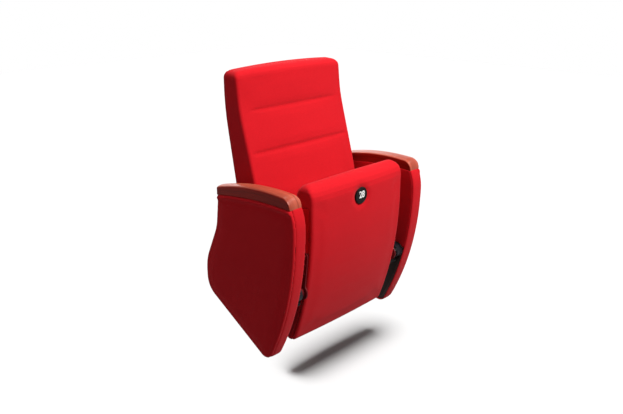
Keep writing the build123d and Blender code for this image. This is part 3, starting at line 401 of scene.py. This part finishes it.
def makeWood():
    made, tree = newMaterial("lacqueredWood")
    place = addNode(tree, "ShaderNodeTexCoord").outputs
    axes = addNode(tree, "ShaderNodeSeparateXYZ", {0: place["Object"]}).outputs
    fromMiddle = calculate(tree, "SUBTRACT", axes[1], wood["bendMiddle"])
    rise = calculate(tree, "DIVIDE", calculate(tree, "MULTIPLY", fromMiddle, fromMiddle), wood["bend"])
    level = calculate(tree, "ADD", axes[2], rise)
    along = calculate(tree, "MULTIPLY", calculate(tree, "SUBTRACT", axes[1], axes[2]), wood["along"])
    across, upwards = (calculate(tree, "MULTIPLY", axis, wood["across"]) for axis in (axes[0], level))
    onTop = addNode(tree, "ShaderNodeCombineXYZ", {0: across, 1: along})
    onSide = addNode(tree, "ShaderNodeCombineXYZ", {0: upwards, 1: along, 2: 7.0})
    topFigure, topPores = grainPattern(tree, onTop.outputs[0], wood["pores"])
    sideFigure, sidePores = grainPattern(tree, onSide.outputs[0], wood["pores"])
    facing = addNode(tree, "ShaderNodeSeparateXYZ", {0: place["Normal"]}).outputs
    sideways = addRange(tree, calculate(tree, "ABSOLUTE", facing[0]), 0.55, 0.85)
    figure = addNode(tree, "ShaderNodeMix", {0: sideways, 2: topFigure, 3: sideFigure}).outputs[0]
    pores = addNode(tree, "ShaderNodeMix", {0: sideways, 2: topPores, 3: sidePores}).outputs[0]
    tone = mixColours(tree, addRange(tree, figure, 0.30, 0.66), wood["dark"], wood["light"])
    colour = scaled(tree, tone, around(tree, pores, wood["poreShare"], 1))
    # painted shade: faces that turn sideways are painted darker and redder
    sideShadeTone = mixColours(tree, sideways, (1, 1, 1, 1), wood["paintedSideShade"])
    sideShadedColour = addNode(tree, "ShaderNodeVectorMath", {0: colour, 1: sideShadeTone}, operation="MULTIPLY")
    bump = addBump(tree, pores, wood["poreDepth"], 0.5)
    rough = around(tree, figure, wood["unevenRoughness"], wood["roughness"])
    finishShader(tree, sideShadedColour.outputs[0], rough, bump, {
        "Coat Weight": calculate(tree, "MULTIPLY_ADD", sideways, -wood["coat"], wood["coat"]),
        "Coat Roughness": wood["coatRoughness"],
        "Specular IOR Level": wood["specular"],
    })
    return made


def makeShadeDarkenedCore():
    made, tree = newMaterial("stainedCore")
    place = addNode(tree, "ShaderNodeTexCoord").outputs["Object"]
    stretch = addNode(tree, "ShaderNodeMapping", {"Vector": place, "Scale": coreShade["grain"]})
    figure, pores = grainPattern(tree, stretch.outputs[0], coreShade["pores"])
    # painted shade: these dark tones stand in for shade
    tone = mixColours(tree, figure, coreShade["dark"], coreShade["light"])
    bump = addBump(tree, pores, coreShade["poreDepth"], 0.5)
    finishShader(tree, tone, coreShade["roughness"], bump, {"Specular IOR Level": coreShade["specular"]})
    return made


def makePlywood():
    made, tree = newMaterial("beechPlywood")
    place = addNode(tree, "ShaderNodeTexCoord").outputs["Object"]
    axes = addNode(tree, "ShaderNodeSeparateXYZ", {0: place}).outputs
    layers = calculate(tree, "SINE", calculate(tree, "MULTIPLY", axes[1], math.pi / plywood["veneer"]))
    stretch = addNode(tree, "ShaderNodeMapping", {"Vector": place, "Scale": plywood["grain"]})
    grain = addNoise(tree, stretch.outputs[0], 1.0, 5.0).outputs[0]
    light = calculate(tree, "MULTIPLY_ADD", layers, plywood["layerShare"], grain)
    tone = mixColours(tree, light, plywood["dark"], plywood["light"])
    bump = addBump(tree, grain, plywood["grainDepth"], 0.5)
    finishShader(tree, tone, plywood["roughness"], bump, {})
    return made


def makeCoating(slotName):
    coat = coatings[slotName]
    made, tree = newMaterial(slotName + "Finish")
    place = addNode(tree, "ShaderNodeTexCoord").outputs["Object"]
    peel = addNoise(tree, place, coat["scale"], 3.0).outputs[0]
    cloud = addNoise(tree, place, 16.0, 4.0).outputs[0]
    tone = mixColours(tree, cloud, coat["tone"], coat["other"])
    rough = around(tree, cloud, coat["uneven"], coat["roughness"])
    bump = addBump(tree, peel, coat["height"], 0.7)
    finishShader(tree, tone, rough, bump, {"Metallic": coat["metal"], "Specular IOR Level": coat["specular"]})
    return made


finishes = {
    "seat_fabric": makeFabric(),
    "armrest_wood": makeWood(),
    "plywood": makePlywood(),
    "stained_wood": makeShadeDarkenedCore(),
}
finishes.update({slotName: makeCoating(slotName) for slotName in coatings})


def dressFrame():
    for part in frame["record"]["subparts"]:
        node = cadNodes[part["node"]]
        # the bracket's screws were painted over with it
        painted = part["node"].startswith("bracket_screws")
        node.data.materials.clear()
        node.data.materials.append(finishes["red_steel" if painted else part["material_slot"]])


dressFrame()
print("finishes made:", len(finishes))


# padded pieces

padding = {
    "frames": 20,
    "pressure": 4.0,
    "mass": 0.3,
    "tension": 18,
    "shear": 6,
    "bending": 4.0,
    "quality": 5,
    "evening": 14,              # rounds that take the small wrinkles out
    "wrinkles": 0.25,           # share of them that stays
    "givingIn": 0.30,           # share of the inward moves that stays, so corners keep their shape
    "nearPoints": 4,            # points of the coarse copy that move each point of the fine one
    "nearest": 0.0005,
    "smoothing": 2,
}


def readPoints(piece):
    count = len(piece.data.vertices)
    places, normals = np.zeros(count * 3), np.zeros(count * 3)
    piece.data.vertices.foreach_get("co", places)
    piece.data.vertices.foreach_get("normal", normals)
    return places.reshape(-1, 3), normals.reshape(-1, 3)


def writePoints(piece, places):
    piece.data.vertices.foreach_set("co", places.astype(np.float32).ravel())
    piece.data.update()


def applyModifier(piece, kind, **settings):
    pick(piece)
    added = piece.modifiers.new(kind.lower(), kind)
    for key, value in settings.items():
        setattr(added, key, value)
    bpy.ops.object.modifier_apply(modifier=added.name)


def weldedCopy(node, name):
    piece = bpy.data.objects.new(name, cadNodes[node].data.copy())
    scene.collection.objects.link(piece)
    piece.data.materials.clear()
    pick(piece)
    bpy.ops.object.mode_set(mode="EDIT")
    bpy.ops.mesh.select_all(action="SELECT")
    bpy.ops.mesh.remove_doubles(threshold=0.00001)
    bpy.ops.mesh.normals_make_consistent(inside=False)
    bpy.ops.object.mode_set(mode="OBJECT")
    return piece


def softCopy(node, name, voxel):
    # an evenly meshed copy of the CAD form
    piece = weldedCopy(node, name)
    applyModifier(piece, "REMESH", mode="VOXEL", voxel_size=voxel)
    return piece


def limited(moves, most):
    length = np.linalg.norm(moves, axis=1, keepdims=True)
    return moves * np.minimum(1, most / np.maximum(length, 1e-9))


def evened(piece, moves, rounds):
    # each point's move drawn towards the mean of its neighbours'
    ends = np.zeros(len(piece.data.edges) * 2, dtype=np.int32)
    piece.data.edges.foreach_get("vertices", ends)
    first, second = ends.reshape(-1, 2).T
    count = len(moves)
    near = np.bincount(first, minlength=count) + np.bincount(second, minlength=count)
    for _ in range(rounds):
        sums = [np.bincount(first, moves[second, i], count) + np.bincount(second, moves[first, i], count)
                for i in range(3)]
        moves = 0.5 * moves + 0.5 * np.stack(sums, axis=1) / near[:, None]
    return moves


def stuffingMoves(node, values, held):
    # how the cover moves under pressure from inside, tried on a coarse copy; held says which points stay
    trial = softCopy(node, node + "Trial", values["trialVoxel"])
    places, normals = readPoints(trial)
    fixed = held(places)
    start = places - normals * values["shrink"] * ~fixed[:, None]
    writePoints(trial, start)
    grip = trial.vertex_groups.new(name="held")
    grip.add([int(i) for i in np.nonzero(fixed)[0]], 1.0, "REPLACE")
    cloth = trial.modifiers.new("stuffing", "CLOTH")
    rules = cloth.settings
    rules.quality = padding["quality"]
    rules.mass = padding["mass"]
    rules.tension_stiffness = rules.compression_stiffness = padding["tension"]
    rules.shear_stiffness = padding["shear"]
    rules.bending_stiffness = padding["bending"]
    rules.use_pressure = True
    rules.uniform_pressure_force = padding["pressure"]
    rules.effector_weights.gravity = 0
    rules.vertex_group_mass = "held"
    cloth.collision_settings.use_collision = False
    cloth.point_cache.frame_start, cloth.point_cache.frame_end = 1, padding["frames"]
    for number in range(1, padding["frames"] + 1):
        scene.frame_set(number)
    pick(trial)
    bpy.ops.object.modifier_apply(modifier="stuffing")
    scene.frame_set(1)
    filled, _ = readPoints(trial)
    moves = start + limited(filled - start, values["cap"]) - places
    moves[fixed] = 0
    soft = evened(trial, moves, padding["evening"])
    moves = soft + padding["wrinkles"] * (moves - soft)
    tree = KDTree(len(places))
    for i, place in enumerate(places):
        tree.insert(place, i)
    tree.balance()
    bpy.data.objects.remove(trial, do_unlink=True)
    return tree, moves


def fillOut(piece, node, values, held):
    tree, moves = stuffingMoves(node, values, held)
    places, normals = readPoints(piece)
    pushed = np.zeros_like(places)
    for i, place in enumerate(places):
        found = tree.find_n(place, padding["nearPoints"])
        weights = np.array([1 / (away + padding["nearest"]) for _, _, away in found])
        pushed[i] = weights @ moves[[number for _, number, _ in found]] / weights.sum()
    inward = np.minimum(0, (pushed * normals).sum(axis=1, keepdims=True))
    writePoints(piece, places + pushed - (1 - padding["givingIn"]) * inward * normals)
    print("stuffed:", piece.name)


def smoothPoints(piece):
    applyModifier(piece, "SMOOTH", factor=0.5, iterations=padding["smoothing"])


def finishPad(piece, body, fill, *replaced):
    pick(piece)
    bpy.ops.object.shade_smooth()
    piece.data.materials.clear()
    piece.data.materials.append(finishes["seat_fabric"])
    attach(piece, body)
    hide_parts(*replaced)
    print("padded piece:", piece.name, len(piece.data.polygons), "faces")


def mirrored(piece, name):
    twin = bpy.data.objects.new(name, piece.data.copy())
    scene.collection.objects.link(twin)
    twin.data.transform(Matrix.Diagonal((-1, 1, 1, 1)))
    twin.data.flip_normals()
    return twin


# side panels: outer pad, inner pad and edge band, made on the right and mirrored

outerPad = {
    "voxel": 0.0030,
    "trialVoxel": 0.0050,
    "shrink": 0.0010,
    "cap": 0.0045,
    "heldBelow": 0.3050,        # x up to which it lies on the core
    "coreSide": 0.3001,
    "rollHeight": 0.0048,       # rolled edge under the armrest, which stands proud
    "rollBelow": 0.0085,
    "rollWidth": 0.0072,
    "rollTurn": 1.5,            # how soon it is full where the pad turns outwards
    "fill": 0.7,
}

innerPad = {
    "voxel": 0.0025,
    "coreSide": 0.2659,
    "crown": 0.0012,
    "fill": 0.5,
}

edgeBand = {
    "voxel": 0.0020,
    "crown": 0.0016,
    "inset": 0.0003,            # of its two edges
    "middle": 0.280,
    "halfWidth": 0.020,
    "fill": 0.5,
}


footArc = {                     # underside of the armrest, which the pads stay below
    "height": 0.3335,
    "radius": 1.290,
    "middle": -0.325,
    "gap": 0.0003,
}


def armrestFoot(y):
    radius = footArc["radius"]
    return footArc["height"] - radius + np.sqrt(radius ** 2 - (y - footArc["middle"]) ** 2)


def makeOuterPad():
    piece = softCopy("outer_pad_right", "outerPadRight", outerPad["voxel"])
    fillOut(piece, "outer_pad_right", outerPad, lambda p: p[:, 0] < outerPad["heldBelow"])
    smoothPoints(piece)
    places, normals = readPoints(piece)
    foot = armrestFoot(places[:, 1])
    roll = np.exp(-((foot - places[:, 2] - outerPad["rollBelow"]) / outerPad["rollWidth"]) ** 2)
    places[:, 0] += outerPad["rollHeight"] * roll * np.clip(outerPad["rollTurn"] * normals[:, 0], 0, 1)
    places[:, 2] = np.minimum(places[:, 2], foot - footArc["gap"])
    places[:, 0] = np.maximum(places[:, 0], outerPad["coreSide"])
    writePoints(piece, places)
    return piece


def makeInnerPad():
    piece = softCopy("inner_pad_right", "innerPadRight", innerPad["voxel"])
    smoothPoints(piece)
    places, normals = readPoints(piece)
    places += normals * innerPad["crown"] * np.clip(-normals[:, :1], 0, 1)
    places[:, 2] = np.minimum(places[:, 2], armrestFoot(places[:, 1]) - footArc["gap"])
    places[:, 0] = np.minimum(places[:, 0], innerPad["coreSide"])
    writePoints(piece, places)
    return piece


def makeEdgeBand():
    piece = softCopy("edge_band_right", "edgeBandRight", edgeBand["voxel"])
    places, normals = readPoints(piece)
    across = (places[:, 0] - edgeBand["middle"]) / edgeBand["halfWidth"]
    middle = places[:, 1:].mean(axis=0)
    outward = ((places[:, 1:] - middle) * normals[:, 1:]).sum(axis=1) > 0
    crown = edgeBand["crown"] * np.clip(1 - across ** 4, 0, 1) - edgeBand["inset"]
    places[outward] += normals[outward] * crown[outward, None]
    writePoints(piece, places)
    smoothPoints(piece)
    return piece


def makeSides():
    makers = {
        "outer_pad": (makeOuterPad, outerPad),
        "inner_pad": (makeInnerPad, innerPad),
        "edge_band": (makeEdgeBand, edgeBand),
    }
    for node, (maker, values) in makers.items():
        right = maker()
        left = mirrored(right, right.name.replace("Right", "Left"))
        finishPad(right, "frame", values["fill"], node + "_right")
        finishPad(left, "frame", values["fill"], node + "_left")


makeSides()


# armrests, modelled on the right and mirrored

armrest = {
    "outerSide": 0.310,
    "half": 0.024,              # half its width
    "section": 0.032,           # height of the cross section before it is bowed
    "topHeight": 0.3655,
    "topMiddle": -0.310,
    "topRadius": 0.870,
    "camber": 0.0045,           # the top is higher along its middle
    "edgeRound": 0.0040,
    "nose": 0.0300,             # length over which the front end turns down
    "cutsAlong": 44,
    "cutsNose": 9,
    "cutsAcross": 9,
    "cutsUp": 7,
    "smoothBelow": 38,          # degrees
}


def markEdges(piece, wanted):
    # selects the edges whose two ends meet a test, for the operators that follow
    bpy.ops.mesh.select_mode(type="EDGE")
    bpy.ops.mesh.select_all(action="DESELECT")
    bpy.ops.object.mode_set(mode="OBJECT")
    points = piece.data.vertices
    for edge in piece.data.edges:
        edge.select = wanted(*(points[i].co for i in edge.vertices))
    bpy.ops.object.mode_set(mode="EDIT")


def cutAcross(axis, places):
    facing = [float(i == axis) for i in range(3)]
    for place in places:
        bpy.ops.mesh.select_all(action="SELECT")
        bpy.ops.mesh.bisect(plane_co=[float(place) * f for f in facing], plane_no=facing)


def bowArmrest(piece, front):
    # bows the straight bar, gives it its camber and turns the front end down in a quarter ellipse
    places, _ = readPoints(piece)
    x, y, z = places.T
    up = z / armrest["section"]
    towardsFront = np.clip((front + armrest["nose"] - y) / armrest["nose"], 0, 1)
    y = np.where(towardsFront > 0, front + armrest["nose"] * (1 - towardsFront * np.sqrt(1 - up ** 2 / 2)), y)
    up = up * np.sqrt(1 - towardsFront ** 2 / 2)
    across = (x - (armrest["outerSide"] - armrest["half"])) / armrest["half"]
    arc = np.sqrt(armrest["topRadius"] ** 2 - (y - armrest["topMiddle"]) ** 2)
    top = armrest["topHeight"] - armrest["topRadius"] + arc
    camber = armrest["camber"] * np.clip(1 - across ** 2, 0, 1) * up ** 2
    foot = armrestFoot(y)
    writePoints(piece, np.stack([x, y, foot + up * (top - foot) + camber], axis=1))


def makeArmrests():
    low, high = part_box("armrest_right")
    pickNone()
    middle = ((low[0] + high[0]) / 2, (low[1] + high[1]) / 2, armrest["section"] / 2)
    sides = (high[0] - low[0], high[1] - low[1], armrest["section"])
    bpy.ops.mesh.primitive_cube_add(size=1, location=middle, scale=sides)
    right = bpy.context.object
    right.name = "armrestRight"
    bpy.ops.object.transform_apply(location=True, rotation=True, scale=True)
    bpy.ops.object.mode_set(mode="EDIT")
    topEdge = armrest["section"] - 0.001
    frontEdge = low[1] + 0.001
    markEdges(right, lambda a, b: abs(a.x - b.x) < 0.001 and
              ((a.z > topEdge and b.z > topEdge) or (a.y < frontEdge and b.y < frontEdge)))
    bpy.ops.mesh.bevel(offset=armrest["edgeRound"], segments=4, affect="EDGES")
    cutAcross(1, np.linspace(low[1], high[1], armrest["cutsAlong"])[1:-1])
    cutAcross(1, low[1] + armrest["nose"] * np.linspace(0.06, 0.96, armrest["cutsNose"]))
    cutAcross(0, np.linspace(low[0], high[0], armrest["cutsAcross"])[1:-1])
    cutAcross(2, np.linspace(0, armrest["section"], armrest["cutsUp"])[1:-1])
    bpy.ops.mesh.select_all(action="SELECT")
    bpy.ops.mesh.remove_doubles(threshold=0.00005)
    bpy.ops.mesh.normals_make_consistent(inside=False)
    bpy.ops.object.mode_set(mode="OBJECT")
    bowArmrest(right, low[1])
    left = mirrored(right, "armrestLeft")
    for piece, node in ((right, "armrest_right"), (left, "armrest_left")):
        pick(piece)
        bpy.ops.object.shade_smooth_by_angle(angle=math.radians(armrest["smoothBelow"]))
        piece.data.materials.append(finishes["armrest_wood"])
        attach(piece, "frame")
        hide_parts(node)
        print("armrest:", piece.name, len(piece.data.polygons), "faces")


makeArmrests()


# backrest

backrest = {
    "voxel": 0.0034,
    "trialVoxel": 0.0080,
    "shrink": 0.0030,
    "cap": 0.0040,
    "heldDepth": 0.030,             # how deep in front of its rear face it is held
    "halfWidth": 0.236,
    "channels": {                   # by height: depth, half width, and where they run out before the sides
        0.432: {"depth": 0.0028, "width": 0.0060, "fade": 0.035},
        0.560: {"depth": 0.0020, "width": 0.0050, "fade": 0.080},
    },
    "solidDepth": 0.006,            # of the channel in the CAD form, which runs out to the sides there
    "solidReach": 0.030,
    "sideMargin": 0.006,            # where the channels have run out
    "pucker": 0.013,                # pitch of the small puckers along a channel
    "puckerShare": 0.14,
    "puckerShift": 9,
    "frontTurn": 1.3,               # how soon a channel is full where the cover turns to the front
    "topCrown": 0.008,              # fall of the top edge to its corners, above which height and over what
    "crownFrom": 0.560,
    "crownReach": 0.130,
    "fill": 0.65,
}

rearCover = {
    "voxel": 0.0040,
    "trialVoxel": 0.0055,
    "shrink": 0.0008,
    "cap": 0.003,
    "heldDepth": 0.005,
    "fill": 0.4,
}

rearFace = {                        # rear of the cushion in side view: straight, a short bend, then upright
    "lean": 0.18,
    "bend": 0.070,
    "bendHeight": 0.566,
    "atBend": -0.036,
}


def backrestRear(z):
    lean, bend, start = rearFace["lean"], rearFace["bend"], rearFace["atBend"]
    above = np.minimum(z - rearFace["bendHeight"], bend)
    return np.where(above < -bend, start + lean * above, start - lean * (bend - above) ** 2 / (4 * bend))


def channelShare(x, fade):
    inward = np.clip((backrest["halfWidth"] - backrest["sideMargin"] - np.abs(x)) / fade, 0, 1)
    return inward ** 2 * (3 - 2 * inward)


def sewChannels(piece):
    places, normals = readPoints(piece)
    front = np.clip(-backrest["frontTurn"] * normals[:, 1], 0, 1)
    bowed = np.clip(1 - (places[:, 0] / backrest["halfWidth"]) ** 2, 0, 1)
    for height, channel in backrest["channels"].items():
        share = channelShare(places[:, 0], channel["fade"])
        away = np.abs(places[:, 2] - height)
        solid = backrest["solidDepth"] * np.clip(1 - away / backrest["solidReach"], 0, 1) ** 2 * bowed
        turns = 2 * math.pi * places[:, 0] / backrest["pucker"] + backrest["puckerShift"] * height
        wave = 1 + backrest["puckerShare"] * np.sin(turns)
        seam = channel["depth"] * np.exp(-(away / channel["width"]) ** 2) * wave
        places[:, 1] += front * (seam * share - solid * (1 - share))
    writePoints(piece, places)


def crownTop(piece):
    # the top edge falls a little towards its corners
    places, _ = readPoints(piece)
    share = np.clip((places[:, 2] - backrest["crownFrom"]) / backrest["crownReach"], 0, 1)
    places[:, 2] -= backrest["topCrown"] * share * (places[:, 0] / backrest["halfWidth"]) ** 2
    writePoints(piece, places)


def makeBackrest():
    piece = softCopy("backrest_cushion", "backrestCushion", backrest["voxel"])
    fillOut(piece, "backrest_cushion", backrest,
            lambda p: p[:, 1] > backrestRear(p[:, 2]) - backrest["heldDepth"])
    smoothPoints(piece)
    sewChannels(piece)
    crownTop(piece)
    finishPad(piece, "frame", backrest["fill"], "backrest_cushion")
    return piece


def makeRearCover():
    piece = softCopy("backrest_rear_cover", "backrestRearCover", rearCover["voxel"])
    fillOut(piece, "backrest_rear_cover", rearCover,
            lambda p: p[:, 1] < backrestRear(p[:, 2]) - rearCover["heldDepth"])
    smoothPoints(piece)
    crownTop(piece)
    finishPad(piece, "frame", rearCover["fill"], "backrest_rear_cover")


stitches = {                        # thread sewn just under each channel
    "pitch": 0.0052,
    "length": 0.0034,
    "thickness": 0.0009,
    "below": 0.0030,
    "sideGap": 0.030,
    "from": -0.6,                   # y in front of the seat, from which their places are sought
}


def sewStitches(cushion):
    bpy.context.view_layer.update()
    pickNone()
    bpy.ops.mesh.primitive_uv_sphere_add(segments=8, ring_count=6, radius=0.5, location=(0, 0, 0))
    row = bpy.context.object
    row.name = "channelStitches"
    sides = (stitches["length"], stitches["thickness"], stitches["thickness"])
    row.data.transform(Matrix.Diagonal((*sides, 1)))
    single = row.data.copy()
    reach = backrest["halfWidth"] - stitches["sideGap"]
    copies = []
    for height in backrest["channels"]:
        for x in np.arange(-reach, reach, stitches["pitch"]):
            start = (float(x), stitches["from"], height - stitches["below"])
            found, place, _, _ = cushion.ray_cast(start, (0, 1, 0))
            if found:
                stitch = bpy.data.objects.new("stitch", single.copy())
                stitch.data.transform(Matrix.Translation(place))
                scene.collection.objects.link(stitch)
                copies.append(stitch)
    row.data = copies[0].data
    bpy.data.objects.remove(copies[0], do_unlink=True)
    pick(row, *copies[1:])
    bpy.ops.object.join()
    bpy.ops.object.shade_smooth()
    row.data.materials.clear()
    row.data.materials.append(finishes["seat_fabric"])
    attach(row, "frame")
    print("stitched:", len(copies), "stitches")


sewStitches(makeBackrest())
makeRearCover()


# seat

seatFront = {
    "voxel": 0.0032,
    "trialVoxel": 0.0070,
    "shrink": 0.0020,
    "cap": 0.0040,
    "heldDepth": 0.012,             # how deep behind its front face it is held, below the nose
    "noseFrom": 0.314,
    "side": 0.2159,
    "discHeight": 0.307,
    "discRadius": 0.027,
    "dimpleDepth": 0.0060,
    "dimpleReach": 0.026,
    "fill": 0.6,
}

seatCushion = {
    "voxel": 0.0036,
    "trialVoxel": 0.0080,
    "shrink": 0.0025,
    "cap": 0.0050,
    "heldDepth": 0.036,
    "side": 0.2159,
    "fill": 0.65,
}

seatArc = {                         # front face of the folded seat in side view
    "front": -0.4035,
    "radius": 1.130,
    "straightAbove": 0.266,
}


def seatFace(z):
    below = np.maximum(0, seatArc["straightAbove"] - z)
    return seatArc["front"] + seatArc["radius"] - np.sqrt(seatArc["radius"] ** 2 - below ** 2)


def sinkDimple(piece):
    places, normals = readPoints(piece)
    # the cloth is drawn in round the number plate
    away = np.hypot(places[:, 0], places[:, 2] - seatFront["discHeight"])
    reach = np.clip((away - seatFront["discRadius"]) / seatFront["dimpleReach"], 0, 1)
    depth = seatFront["dimpleDepth"] * (1 - reach) ** 2 * np.clip(-normals[:, 1], 0, 1)
    places[:, 1] += depth
    writePoints(piece, places)


def keepWidth(piece, side):
    # clear of the seat brackets
    places, _ = readPoints(piece)
    places[:, 0] = np.clip(places[:, 0], -side, side)
    writePoints(piece, places)


def makeSeatFront():
    piece = softCopy("seat_front_cover", "seatFrontCover", seatFront["voxel"])

    def held(p):
        return (p[:, 1] > seatFace(p[:, 2]) + seatFront["heldDepth"]) & (p[:, 2] < seatFront["noseFrom"])

    fillOut(piece, "seat_front_cover", seatFront, held)
    smoothPoints(piece)
    sinkDimple(piece)
    keepWidth(piece, seatFront["side"])
    finishPad(piece, "seat", seatFront["fill"], "seat_front_cover")
    return piece


def makeSeatCushion():
    piece = softCopy("seat_cushion", "seatCushion", seatCushion["voxel"])
    fillOut(piece, "seat_cushion", seatCushion,
            lambda p: p[:, 1] < seatFace(p[:, 2]) + seatCushion["heldDepth"])
    smoothPoints(piece)
    keepWidth(piece, seatCushion["side"])
    finishPad(piece, "seat", seatCushion["fill"], "seat_cushion")
    return piece


seatPieces = [makeSeatFront(), makeSeatCushion()]


# springs: the CAD coils, copied, smoothed and finished; the real ones wind up between their two legs as the
# seat comes down

spring = {
    "frameEnd": 0.2575,         # x of the coil's end at the stanchion, and of the one at the seat
    "seatEnd": 0.2350,
    "pivot": (-0.355, 0.038),
    "smoothBelow": 70,          # degrees
}


def makeSprings():
    for side, sign in (("right", 1), ("left", -1)):
        piece = weldedCopy("torsion_spring_" + side, "torsionSpring" + side.capitalize())
        pick(piece)
        bpy.ops.object.shade_smooth_by_angle(angle=math.radians(spring["smoothBelow"]))
        piece.data.materials.append(finishes["spring_steel"])
        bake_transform(piece)
        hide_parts("torsion_spring_" + side)


makeSprings()


# number on the plate

number = {
    "digits": "28",
    "size": 0.030,
    "narrow": 0.86,
    "place": (0.002, -0.4044, 0.309),
    "thickness": 0.0003,
    "bolder": 0.0008,
    "curveSteps": 6,
}


def makeNumber():
    pickNone()
    bpy.ops.object.text_add(location=(0, 0, 0))
    digits = bpy.context.object
    digits.name = "seatNumber"
    digits.data.body = number["digits"]
    digits.data.size = number["size"]
    digits.data.align_x = "CENTER"
    digits.data.align_y = "CENTER"
    digits.data.extrude = number["thickness"]
    digits.data.offset = number["bolder"]
    digits.data.resolution_u = number["curveSteps"]
    pick(digits)
    bpy.ops.object.convert(target="MESH")
    narrowed = Matrix.Diagonal((number["narrow"], 1, 1, 1))
    upright = Matrix.Rotation(math.radians(90), 4, "X")
    digits.data.transform(Matrix.Translation(number["place"]) @ upright @ narrowed)
    digits.data.materials.clear()
    digits.data.materials.append(finishes["nylon"])
    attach(digits, "seat")


makeNumber()
print("number plate finished")

shadowOnly(seatPieces)
